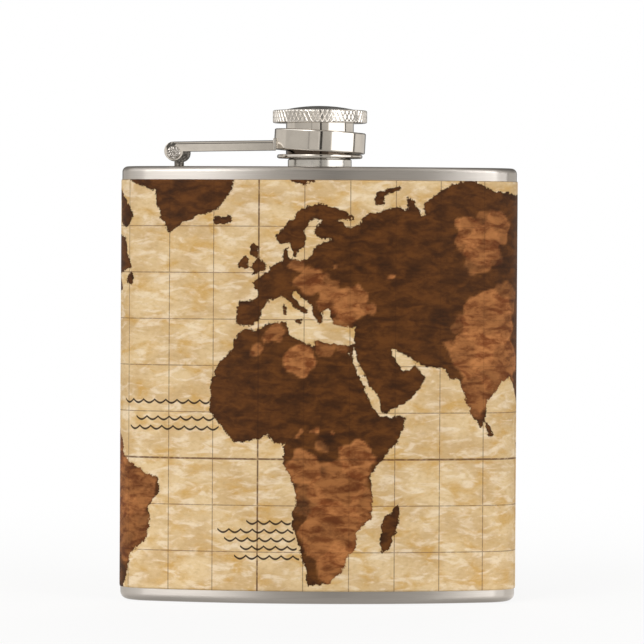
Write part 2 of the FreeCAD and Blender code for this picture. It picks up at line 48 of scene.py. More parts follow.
# ------------------------------------------------------------------ places from the frame
WALL_LOW, WALL_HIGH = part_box("body_wall")
WRAP_LOW, WRAP_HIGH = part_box("vinyl_wrap")
PLATE_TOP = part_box("top_plate")[1].z
HEAD_LOW, HEAD_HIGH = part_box("cap_head")
PIN_LOW, PIN_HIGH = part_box("hinge_pin")
NECK_AXIS = (HEAD_LOW + HEAD_HIGH) / 2
PIVOT = (PIN_LOW + PIN_HIGH) / 2
GAP_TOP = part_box("retaining_flange")[1].z + 1.3 * MM

# ------------------------------------------------------------------ section of the body
FRONT_RADIUS = 120 * MM
BACK_RADIUS = 100 * MM
END_RADIUS = 9 * MM
BACK_CORNER_X = 36.4 * MM
HALF_WIDTH = 46.28 * MM
WRAP_THICK = 0.22 * MM
SEAM_GAP = 0.4 * MM
SECTION_CENTRE_Y = WALL_LOW.y + FRONT_RADIUS


class Section:
    """The kidney outline at a distance outside the metal, walked by arc length.

    Length 0 is the middle of the front face, positive towards +X; both ways it
    goes round the rounded end to the middle of the concave back."""

    def __init__(self, out):
        front_ring = FRONT_RADIUS - END_RADIUS
        back_ring = BACK_RADIUS + END_RADIUS
        front_x = HALF_WIDTH - END_RADIUS
        self.front_turn = math.asin(front_x / front_ring)
        self.back_turn = math.asin(BACK_CORNER_X / back_ring)
        self.front_centre = Vector((front_x, SECTION_CENTRE_Y - front_ring * math.cos(self.front_turn)))
        self.back_centre = Vector((BACK_CORNER_X, SECTION_CENTRE_Y - back_ring * math.cos(self.back_turn)))
        gap = self.back_centre - self.front_centre
        self.slope = math.atan2(-gap.x, gap.y)
        self.straight = gap.length
        self.corner = END_RADIUS + out
        self.front = FRONT_RADIUS + out
        self.back = BACK_RADIUS - out
        self.spans = [self.front * self.front_turn,
                      self.corner * (self.slope + math.pi / 2 - self.front_turn),
                      self.straight,
                      self.corner * (math.pi / 2 + self.back_turn - self.slope),
                      self.back * self.back_turn]
        self.half = sum(self.spans)

    def at(self, length):
        """Point on the outline and its outward normal."""
        side = 1 if length >= 0 else -1
        rest = min(abs(length), self.half)
        point, normal = self._right(rest)
        return Vector((side * point.x, point.y)), Vector((side * normal.x, normal.y))

    def stations(self, counts):
        """Points all round the outline, with the same count on each stretch for any offset."""
        right = []
        start = 0.0
        for span, count in zip(self.spans, counts):
            right += [start + span * step / count for step in range(count)]
            start += span
        right.append(self.half)
        return [self.at(rest)[0] for rest in right] + [self.at(-rest)[0] for rest in right[-2:0:-1]]

    def _right(self, rest):
        spans = self.spans
        if rest <= spans[0]:
            angle = rest / self.front
            normal = Vector((math.sin(angle), -math.cos(angle)))
            return Vector((0, SECTION_CENTRE_Y)) + normal * self.front, normal
        rest -= spans[0]
        if rest <= spans[1]:
            angle = self.front_turn - math.pi / 2 + rest / self.corner
            normal = Vector((math.cos(angle), math.sin(angle)))
            return self.front_centre + normal * self.corner, normal
        rest -= spans[1]
        if rest <= spans[2]:
            normal = Vector((math.cos(self.slope), math.sin(self.slope)))
            start = self.front_centre + normal * self.corner
            return start + Vector((-normal.y, normal.x)) * rest, normal
        rest -= spans[2]
        if rest <= spans[3]:
            angle = self.slope + rest / self.corner
            normal = Vector((math.cos(angle), math.sin(angle)))
            return self.back_centre + normal * self.corner, normal
        rest -= spans[3]
        angle = self.back_turn - rest / self.back
        normal = Vector((-math.sin(angle), math.cos(angle)))
        return Vector((0, SECTION_CENTRE_Y)) - normal * self.back, normal


# ------------------------------------------------------------------ node helpers
class Graph:
    """Short ways to add shader nodes."""

    def __init__(self, tree):
        self.tree = tree
        self.tree.nodes.clear()

    def node(self, kind, inputs=None, **settings):
        made = self.tree.nodes.new(kind)
        for name, value in settings.items():
            setattr(made, name, value)
        for name, value in (inputs or {}).items():
            self.put(made.inputs[name], value)
        return made

    def put(self, socket, value):
        if isinstance(value, bpy.types.NodeSocket):
            self.tree.links.new(value, socket)
        elif value is not None:
            socket.default_value = value

    def math(self, operation, a, b=None):
        made = self.node("ShaderNodeMath", operation=operation)
        for socket, value in zip(made.inputs, (a, b)):
            self.put(socket, value)
        return made.outputs[0]

    def times(self, a, b):
        return self.math("MULTIPLY", a, b)

    def plus(self, a, b):
        return self.math("ADD", a, b)

    def minus(self, a, b):
        return self.math("SUBTRACT", a, b)

    def length(self, a, b):
        return self.math("SQRT", self.plus(self.times(a, a), self.times(b, b)))

    def heading(self, x, y):
        """Angle about Z: 0 towards -Y, growing towards +X."""
        return self.math("ARCTAN2", x, self.times(y, -1.0))

    def place(self):
        return self.node("ShaderNodeTexCoord").outputs["Object"]

    def step(self, value, low, high, to_low=0.0, to_high=1.0):
        """Smooth step of value from low to high."""
        made = self.node("ShaderNodeMapRange", interpolation_type="SMOOTHSTEP")
        for name, number in (("Value", value), ("From Min", low), ("From Max", high),
                             ("To Min", to_low), ("To Max", to_high)):
            self.put(made.inputs[name], number)
        return made.outputs["Result"]

    def mix(self, factor, a, b, blend="MIX"):
        made = self.node("ShaderNodeMix", data_type="RGBA", blend_type=blend)
        self.put(made.inputs[0], factor)
        self.put(made.inputs[6], a)
        self.put(made.inputs[7], b)
        return made.outputs[2]

    def noise(self, vector, scale, detail=4.0, rough=0.55, twist=0.0):
        made = self.node("ShaderNodeTexNoise", {
            "Vector": vector, "Scale": scale, "Detail": detail, "Roughness": rough,
            "Distortion": twist})
        return made.outputs["Fac"]

    def stretch(self, vector, scale, place=(0, 0, 0), turn=(0, 0, 0)):
        made = self.node("ShaderNodeMapping")
        self.put(made.inputs["Vector"], vector)
        made.inputs["Scale"].default_value = scale
        made.inputs["Location"].default_value = place
        made.inputs["Rotation"].default_value = turn
        return made.outputs["Vector"]

    def parts(self, vector):
        made = self.node("ShaderNodeSeparateXYZ")
        self.put(made.inputs[0], vector)
        return made.outputs[0], made.outputs[1], made.outputs[2]

    def attribute(self, name):
        return self.node("ShaderNodeAttribute", attribute_name=name)

    def bump(self, height, strength, distance, normal=None):
        made = self.node("ShaderNodeBump", {"Height": height, "Strength": strength,
                                            "Distance": distance})
        if normal is not None:
            self.put(made.inputs["Normal"], normal)
        return made.outputs["Normal"]

    def blend(self, factor, a, b):
        """Mix of two shaders."""
        made = self.node("ShaderNodeMixShader", {0: factor})
        self.tree.links.new(a.outputs[0], made.inputs[1])
        self.tree.links.new(b.outputs[0], made.inputs[2])
        return made

    def output(self, shader, kind="ShaderNodeOutputMaterial"):
        self.tree.links.new(shader.outputs[0], self.node(kind).inputs["Surface"])

    def principled(self, **inputs):
        shader = self.node("ShaderNodeBsdfPrincipled")
        for name, value in inputs.items():
            self.put(shader.inputs[name.replace("_", " ")], value)
        self.output(shader)


def srgb(red, green, blue):
    """Linear colour of an 8-bit display colour."""
    def linear(value):
        value = value / 255
        return value / 12.92 if value <= 0.04045 else ((value + 0.055) / 1.055) ** 2.4
    return (linear(red), linear(green), linear(blue), 1.0)


def material(name):
    made = bpy.data.materials.new(name)
    made.use_nodes = True
    return made, Graph(made.node_tree)


# ------------------------------------------------------------------ metals and rubber
def steel_satin():
    """Body steel: brushed level, so lights smear up and down but stay narrow sideways."""
    made, g = material("satin_steel")
    where = g.place()
    hair = g.noise(g.stretch(where, (90, 90, 9000)), 1.0, 5.0, 0.7)
    cloud = g.noise(where, 70.0, 3.0, 0.5)
    tint = g.mix(g.step(hair, 0.3, 0.7), (0.60, 0.555, 0.51, 1), (0.69, 0.645, 0.595, 1))
    tint = g.mix(g.times(cloud, 0.3), tint, (0.55, 0.515, 0.475, 1))
    rough = g.plus(g.times(hair, 0.08), 0.29)
    _, _, facing_up = g.parts(g.node("ShaderNodeNewGeometry").outputs["Normal"])
    grain = g.step(g.math("ABSOLUTE", facing_up), 0.98, 0.85, 0.0, 0.9)
    g.principled(Base_Color=tint, Metallic=1.0, Roughness=rough, Anisotropic=grain,
                 Anisotropic_Rotation=0.25, Normal=g.bump(hair, 0.06, 0.00003),
                 Tangent=g.node("ShaderNodeTangent", direction_type="RADIAL", axis="Z").outputs[0])
    return made


def steel_polished(name="polished_steel", tint=(0.80, 0.745, 0.675), rough=0.05, painted_shade_top=None):
    """Buffed cap steel: nearly a mirror, with a trace of wipe marks.

    Below painted_shade_top it is painted dark: painted shade for the shadowed gap between collar and
    flange."""
    made, g = material(name)
    where = g.place()
    wipe = g.noise(g.stretch(where, (300, 300, 1500), turn=(0.4, 0.2, 0.0)), 1.0, 3.0, 0.6)
    smear = g.noise(where, 220.0, 4.0, 0.6)
    dull = tuple(0.86 * value for value in tint) + (1.0,)
    colour = g.mix(g.step(smear, 0.35, 0.75), tint + (1.0,), dull)
    roughness = g.plus(g.times(wipe, 0.05), rough)
    # Painted shade: below the given height the colour goes nearly black, standing in for the shadow in the
    # gap under the collar.
    if painted_shade_top:
        _, _, height = g.parts(where)
        uneven = g.plus(height, g.times(smear, 0.0006))
        gap_shade = g.step(uneven, painted_shade_top + 0.0005, painted_shade_top)
        colour = g.mix(g.times(gap_shade, 0.93), colour, (0.055, 0.030, 0.013, 1))
    g.principled(Base_Color=colour, Metallic=1.0, Roughness=roughness,
                 Normal=g.bump(smear, 0.04, 0.00002))
    return made


def steel_spun():
    """The button on the cap: turned in fine circles about the neck axis."""
    made, g = material("spun_steel")
    where = g.place()
    x, y, _ = g.parts(where)
    across = g.minus(y, NECK_AXIS.y)
    radius = g.length(x, across)
    rings = g.node("ShaderNodeTexNoise", {"Scale": 1.0, "Detail": 5.0, "Roughness": 0.7},
                   noise_dimensions="1D")
    g.put(rings.inputs["W"], g.times(radius, 9000.0))
    ring = rings.outputs["Fac"]
    tint = g.mix(ring, (0.44, 0.42, 0.39, 1), (0.52, 0.50, 0.46, 1))
    g.principled(Base_Color=tint, Metallic=1.0,
                 Roughness=g.plus(g.times(ring, 0.12), 0.12),
                 Normal=g.bump(ring, 0.05, 0.00003))
    return made


def steel_cast_painted_shade():
    """The post: left as cast and duller than the buffed pieces; its colour is painted darker as painted
    shade, for the shadow it sits in under the arm and between its ears.
    """
    made, g = material("cast_steel_painted_shade")
    where = g.place()
    pits = g.noise(where, 2200.0, 4.0, 0.65)
    # Painted shade: both tints are set dark to stand in for the shadow on the post between the ears.
    tint = g.mix(g.step(pits, 0.35, 0.7), (0.10, 0.090, 0.080, 1), (0.40, 0.375, 0.34, 1))
    g.principled(Base_Color=tint, Metallic=1.0,
                 Roughness=g.plus(g.times(pits, 0.2), 0.2),
                 Normal=g.bump(pits, 0.6, 0.00008))
    return made


def hammered_steel():
    """The rivet's ends: small bright facets with dark pits between them."""
    made, g = material("hammered_steel")
    where = g.place()
    blows = g.node("ShaderNodeTexVoronoi", {"Scale": 2600.0, "Randomness": 1.0},
                   feature="SMOOTH_F1")
    g.put(blows.inputs["Vector"], where)
    hit = blows.outputs["Distance"]
    pits = g.noise(where, 3200.0, 4.0, 0.6)
    tint = g.mix(g.step(pits, 0.38, 0.58), (0.16, 0.14, 0.12, 1), (0.66, 0.615, 0.56, 1))
    g.principled(Base_Color=tint, Metallic=1.0,
                 Roughness=g.plus(g.times(pits, 0.2), 0.12),
                 Normal=g.bump(hit, 0.5, 0.00012))
    return made


def braze_silver():
    made, g = material("braze_silver")
    where = g.place()
    ripple = g.noise(where, 1400.0, 3.0, 0.6)
    tint = g.mix(ripple, (0.74, 0.70, 0.64, 1), (0.62, 0.575, 0.515, 1))
    g.principled(Base_Color=tint, Metallic=1.0,
                 Roughness=g.plus(g.times(ripple, 0.2), 0.30),
                 Normal=g.bump(ripple, 0.3, 0.00008))
    return made


def silicone():
    made, g = material("silicone")
    where = g.place()
    haze = g.noise(where, 500.0, 4.0, 0.6)
    tint = g.mix(haze, (0.72, 0.70, 0.65, 1), (0.84, 0.83, 0.79, 1))
    g.principled(Base_Color=tint, Roughness=g.plus(g.times(haze, 0.2), 0.4),
                 Subsurface_Weight=0.25, Normal=g.bump(haze, 0.1, 0.00005))
    return made


# ------------------------------------------------------------------ the printed world map
# Coasts as longitude and latitude, from general knowledge, fitted to the print.
AFRICA = [
    (-6, 35.8), (-2, 35.1), (3, 36.9), (10, 37.3), (11, 33.8), (15, 32.3), (20, 30.6), (20.5, 32.8),
    (25, 31.6), (30, 31.4), (34.4, 31.2), (34.2, 28), (32.8, 29), (35.5, 24), (37.2, 20.5),
    (39.5, 15.5), (43, 11.7), (52.2, 11.9), (51.2, 9), (48, 4), (42, -1), (39.2, -5),
    (40.5, -11), (40, -16), (35, -20), (35.5, -24), (32.7, -26.5), (31, -29.8), (27, -33.6),
    (22, -34.2), (18.4, -34.2), (17.5, -30.5), (14.5, -23), (12, -17.5), (13.7, -11), (12.2, -6),
    (9, -1), (9.5, 4), (6, 4.4), (3.5, 6.4), (-2, 4.9), (-7.5, 4.4), (-13, 9), (-17, 13),
    (-17, 21), (-14.5, 26), (-10, 30), (-9.5, 32.5)]
EURASIA = [
    (-9, 37), (-9.3, 39), (-8.8, 43.3), (-2, 43.4), (-1.2, 45.5), (-4.5, 48.2), (-1.5, 49.5),
    (2, 51), (5, 53.3), (8.5, 54), (8.2, 57), (10.5, 57.6), (10.8, 54.3), (14, 54.2), (19, 54.5),
    (21.5, 57.5), (24, 58.8), (30, 59.8), (23, 60.3), (21.5, 61.5), (25.3, 65), (22, 65.7),
    (17.5, 62), (18.5, 60), (16.5, 57.5), (14.3, 55.5), (12.8, 55.5), (11, 59), (7, 58),
    (5, 61), (10, 64), (14.5, 67.4), (22, 69.4), (27, 69.8), (33, 68.2), (41, 66), (40, 65),
    (33, 65), (38, 62.8), (43, 64.6), (45, 66.6), (53, 67.6), (60, 68.8), (66, 68), (67, 71.6),
    (70.6, 70.4), (71.4, 66.2), (73, 66.6), (74, 70), (80, 71.4), (87, 74), (100, 76), (105, 76.2),
    (113, 73.4), (127, 72.4), (140, 72.5), (160, 69.8), (180, 69), (180, 65), (177, 62.5),
    (163, 59), (162, 54), (156.5, 51), (156, 57), (160, 61), (150, 59.5), (137, 54), (140, 48),
    (131, 43), (127.5, 39.5), (129.3, 36), (126.5, 34.5), (125, 39.5), (121.5, 40.5),
    (118, 39), (122, 37), (119.5, 35), (121.8, 31), (119.5, 25.5), (113.5, 22.3), (108, 21.5),
    (106, 19), (109, 12.5), (105, 8.8), (100.5, 13.3), (99.5, 10), (103.5, 4), (103.5, 1.5),
    (101, 3), (99, 8.5), (98.4, 15), (93, 22.5), (88.5, 21), (82, 15.8), (81.2, 12),
    (79, 8.2), (76, 12), (72.8, 19), (72.5, 21.5), (69, 22), (66.5, 25), (61, 25.2),
    (57, 26.6), (50, 30), (48, 29.8), (50.2, 26.5), (51.5, 24.5), (54.5, 24.2), (56.3, 26),
    (59.8, 22.5), (57, 18.8), (52, 15.6), (45, 12.8), (43.2, 12.8), (42.5, 16.5), (39, 21),
    (35, 28), (34.3, 31.2), (36, 36), (32, 36), (27.5, 36.8), (26.3, 39.5), (26, 40.7),
    (23.5, 40.3), (24, 37.8), (22.5, 36.5), (20, 39.5), (19.5, 42),
    (14, 45), (13, 45.5), (12.5, 44), (16, 41.5), (18.5, 40), (16.5, 39.5), (16, 38),
    (15.5, 40), (10.5, 43), (8.5, 44.3), (3.5, 43.2), (0, 40), (-0.5, 38), (-2, 36.8),
    (-5.5, 36)]
NORTH_AMERICA = [
    (-168, 66), (-156, 71), (-128, 70), (-110, 68), (-95, 69), (-86, 68), (-94, 61), (-82, 55),
    (-79, 52), (-78, 58), (-77, 62), (-70, 61), (-64, 60), (-60, 55), (-56, 52), (-66, 50),
    (-60, 46), (-70, 43.5), (-74, 40.5), (-76, 35), (-81, 31), (-80.2, 25.5), (-82.5, 29),
    (-90, 29.5), (-97, 27.5), (-97, 20), (-90.5, 19), (-87, 21.5), (-88, 16), (-83.5, 15),
    (-83, 10), (-79.5, 9.4), (-77.5, 8.5), (-80, 7.5), (-85, 10), (-94, 16), (-105, 20.5),
    (-112, 29), (-114, 31), (-110, 23.5), (-117, 32.5), (-124, 40), (-124, 48), (-135, 58),
    (-150, 60.5), (-162, 55), (-158, 58.5), (-165, 62)]
SOUTH_AMERICA = [
    (-80, 1), (-77.5, 8.5), (-72, 12), (-62, 10.5), (-52, 5), (-50, 0), (-44, -2.5),
    (-35.2, -5.5), (-35, -9), (-39, -13), (-39.5, -19), (-41.5, -22.5), (-48, -26),
    (-52.5, -33), (-57.5, -38), (-62, -39), (-66, -45), (-69, -52), (-74, -52),
    (-73.5, -40), (-70.5, -20), (-76, -14), (-81, -5)]
GREENLAND = [
    (-42, 61.3), (-38, 63.6), (-32, 66), (-23.5, 67.2), (-20.5, 70), (-16.5, 73.6), (-18, 80),
    (-60, 82), (-77, 77), (-66, 74.6), (-56, 73), (-51.5, 68.3), (-47, 64.6)]
AUSTRALIA = [
    (114, -22), (122, -18), (130, -12), (136, -12), (136, -15), (140.5, -17.5), (142.5, -11),
    (146, -19), (153, -26), (150, -37), (144, -38.5), (138, -35), (131, -31.5), (124, -33),
    (115.5, -34.5)]
ISLANDS = [
    [(-5.5, 50.1), (1.3, 51.2), (1.7, 52.8), (-1.5, 55), (-2, 57.5), (-5, 58.6), (-5.8, 56),
     (-3, 54.5), (-5, 52), (-3, 51.3)],
    [(-6.2, 52.2), (-10, 51.8), (-9.8, 54), (-7.5, 55.3), (-5.6, 54.3)],
    [(-22.5, 64), (-18.5, 63.4), (-14, 64.8), (-15.5, 66.2), (-20, 65.8), (-22.5, 66.3), (-24, 65)],
    [(10, 77), (13, 75.2), (16, 75.1), (17.5, 74.1), (20, 75.2), (24, 75.6), (25, 78)],
    [(51, 71), (52, 69.2), (55.5, 69), (56, 71.4), (60, 72.7), (66, 73.4), (66, 74.3), (60, 74),
     (54, 72.8)],
    [(49.3, -12), (50.4, -15.8), (47, -25), (44.5, -25), (43.5, -22), (44.5, -16.2)],
    [(81, 10.2), (82.6, 8.6), (83.4, 6.4), (82, 5.8), (80.8, 7.6)],
    [(8.3, 39), (9.7, 39.5), (9.5, 43), (8.6, 42)],
    [(12.5, 38), (15.6, 38.2), (15.1, 36.9)],
    [(-80, 73.5), (-68, 69), (-62, 66), (-66, 62.5), (-73, 64.5), (-78, 70), (-90, 73)],
    [(-59, 48), (-53, 47), (-55.5, 51.5)],
    [(130, 31.5), (131, 34), (137, 37), (140, 41), (142, 45), (145, 43.5), (141, 38), (140, 35.2),
     (135, 34)],
    [(95.5, 5.5), (98.5, 3.5), (104, -2), (105.8, -5.8), (100.5, -2)],
    [(109, 1.5), (113, 3.2), (117, 7), (119, 5), (116, -4), (110, -2.5)],
    [(131, -1), (138, -1.8), (147, -6), (150, -10.5), (141, -9), (138, -8), (132, -4)],
    [(105.5, -6.5), (110, -6.6), (114, -7.8), (108, -7.8)],
    [(120.5, 18), (122, 18), (124, 12.5), (126, 7), (122, 7.5), (120.3, 14)],
    [(119.5, -5), (121, 1.2), (125, 1.5), (121, 0), (123, -4)],
    [(173, -34.5), (178, -38), (175, -41), (167, -46), (171, -42.5), (174, -39)]]
# Flat projection: longitude is squeezed towards the poles, latitude runs evenly.
MAP_MERIDIAN = 10.0
MAP_MIDDLE = -7.45
MAP_EQUATOR = 33.6
PER_LONGITUDE = 0.670
PER_LATITUDE = 0.851
NARROWING = 0.61
GRID_ACROSS = 10.62
GRID_UP = 10.78
GRID_MERIDIAN = -14.0
RULE_HALF = 0.09
MERIDIAN_HALF = 0.17
EQUATOR_HALF = 0.19
RULE_SOFT = 0.05

# Watery stains on the land: place, radius and strength, in millimetres on the sheet.
STAINS = [
    (-4.5, 56.4, 3.7, 0.70), (-10.1, 63.0, 2.3, 0.50), (-14.3, 58.9, 1.4, 0.55), (1.6, 60.0, 2.4, 0.4),
    (5.6, 59.8, 1.6, 0.35), (-12.6, 61.6, 0.5, 0.6), (-5.0, 78.6, 1.7, 0.5), (-2.2, 74.6, 3.2, 0.5),
    (1.6, 73.0, 3.0, 0.35), (7.4, 69.6, 4.2, 0.55), (3.0, 70.6, 3.6, 0.5), (5.8, 65.4, 2.6, 0.4),
    (12.0, 68.0, 1.4, 0.55), (9.0, 68.2, 1.4, 0.5), (3.6, 78.8, 0.45, 0.8), (16.6, 75.9, 0.75, 0.8),
    (-8.6, 66.2, 1.0, 0.4), (35.4, 86.4, 3.4, 0.5), (42.4, 87.4, 3.8, 0.5), (37.6, 79.2, 3.2, 0.4),
    (38.8, 83.4, 4.6, 0.5), (34.6, 83.2, 2.2, 0.35), (41.2, 81.0, 2.6, 0.35), (39.0, 88.6, 2.4, 0.3),
    (32.8, 88.4, 1.0, 0.5), (40.5, 66.0, 7.0, 0.62), (36.2, 58.4, 5.4, 0.62), (42.8, 56.0, 6.6, 0.6),
    (37.0, 48.6, 5.0, 0.5), (33.6, 65.2, 2.2, 0.35), (45.0, 71.0, 4.2, 0.35), (30.4, 60.4, 1.1, 0.45),
    (-3.4, 31.6, 3.9, 0.6), (9.0, 33.6, 4.2, 0.65), (4.6, 27.0, 6.4, 0.5), (-2.4, 24.6, 4.0, 0.45),
    (11.2, 22.8, 4.0, 0.55), (3.4, 16.4, 7.6, 0.6), (5.0, 8.6, 5.2, 0.6), (0.6, 36.6, 1.4, 0.5),
    (-4.2, 39.4, 0.55, 0.9), (-0.6, 40.4, 0.45, 0.9), (3.0, 40.0, 0.5, 0.7),
    (-45.5, 27.0, 7.2, 0.5), (-47.0, 17.0, 7.6, 0.45), (-50.0, 36.0, 6.0, 0.5),
    (61.0, 72.0, 8.0, 0.5), (74.0, 58.0, 7.0, 0.5), (69.0, 84.0, 5.0, 0.45), (92.0, 70.0, 6.5, 0.55),
    (76.0, 15.0, 9.0, 0.5), (-84.0, 70.0, 9.0, 0.5), (-66.0, 62.0, 6.0, 0.5), (-97.0, 86.0, 5.0, 0.45),
    (-60.0, 18.0, 8.0, 0.5), (56.0, 80.0, 3.0, 0.5), (82.0, 78.0, 2.2, 0.6)]
STAIN_EDGE = 0.5
STAIN_WOBBLE = 1.3
STAIN_FREQUENCY = 0.42
STAIN_SEED = 3

# Darker scorched places, the same way.
SCORCHES = [
    (15.4, 78.4, 1.7, 0.55), (28.4, 66.8, 2.0, 0.6), (30.4, 64.4, 1.4, 0.5), (1.6, 38.0, 2.0, 0.5),
    (0.9, 30.4, 0.9, 0.5), (-3.2, 22.6, 2.0, 0.55), (44.6, 79.0, 2.4, 0.5), (33.4, 77.0, 2.0, 0.4),
    (66.0, 64.0, 3.0, 0.5), (-90.0, 62.0, 3.0, 0.5), (84.0, 66.0, 2.4, 0.5)]
SCORCH_EDGE = 1.6

# Rows of scalloped sea marks: from, to and height in millimetres on the sheet.
SEA_MARKS = [
    (-47.0, -25.4, 47.1), (-43.4, -24.3, 43.2), (-45.2, -23.2, 41.0),
    (-16.6, -6.2, 19.3), (-23.4, -5.6, 17.3), (-21.8, -5.2, 15.3), (-18.0, -4.8, 13.4),
    (-19.4, -4.2, 11.2)]
MARK_LENGTH = 2.75
MARK_HEIGHT = 0.75
MARK_HALF = 0.19
MARK_SOFT = 0.10


def on_sheet(points):
    """Longitude and latitude to millimetres on the flat sheet."""
    points = np.array(points, float)
    squeeze = np.cos(np.radians(points[:, 1]) * NARROWING)
    across = MAP_MIDDLE + PER_LONGITUDE * (points[:, 0] - MAP_MERIDIAN) * squeeze
    return np.stack([across, MAP_EQUATOR + PER_LATITUDE * points[:, 1]], 1)


def distance_inside(places, outline):
    """Distance from each place to a closed outline, positive inside it."""
    best = np.full(len(places), 1e9)
    inside = np.zeros(len(places), bool)
    for start, end in zip(outline, np.roll(outline, -1, axis=0)):
        along = end - start
        share = ((places - start) @ along) / max(along @ along, 1e-12)
        nearest = start + np.clip(share, 0, 1)[:, None] * along
        best = np.minimum(best, np.hypot(*(places - nearest).T))
        crosses = (start[1] > places[:, 1]) != (end[1] > places[:, 1])
        rise = (end[1] - start[1]) or 1e-12
        reach = start[0] + (places[:, 1] - start[1]) * along[0] / rise
        inside ^= crosses & (places[:, 0] < reach)
    return np.where(inside, best, -best)


def land_distance(places):
    lands = [AFRICA, EURASIA, NORTH_AMERICA, SOUTH_AMERICA, GREENLAND, AUSTRALIA] + ISLANDS
    field = np.full(len(places), -1e9)
    for land in lands:
        field = np.maximum(field, distance_inside(places, on_sheet(land)))
    return np.clip(field, -4, 4)


def washed(places, spots, edge):
    """How strongly overlapping stains cover each place, 0 to 1, a little darker at their rims."""
    noise.seed_set(STAIN_SEED)
    wobbled = np.array([
        Vector((x, y)) + noise.noise_vector(Vector((x, y, 0.0)) * STAIN_FREQUENCY).xy * STAIN_WOBBLE
        for x, y in places])
    clear = np.ones(len(places))
    for across, up, radius, strength in spots:
        depth = radius - np.hypot(wobbled[:, 0] - across, wobbled[:, 1] - up)
        cover = np.clip(depth / edge + 0.5, 0, 1)
        ring = 1 + 0.22 * np.exp(-((depth - 0.3) / 0.35) ** 2)
        clear *= 1 - np.clip(strength * cover * ring, 0, 0.95)
    return 1 - clear


SEA_LIGHT = srgb(222, 195, 150)
SEA_MIDDLE = srgb(203, 171, 123)
SEA_GOLD = srgb(202, 157, 80)
SEA_PALE = srgb(240, 223, 196)
SEA_DEEP = srgb(172, 134, 82)
LINE_BROWN = srgb(92, 56, 32)
MARK_BROWN = srgb(46, 28, 18)
LAND_DARK = srgb(62, 33, 8)
LAND_WARM = srgb(100, 58, 20)
LAND_DEEP = srgb(36, 18, 6)
LAND_RUST = srgb(122, 64, 27)
LAND_TAN = srgb(190, 125, 72)


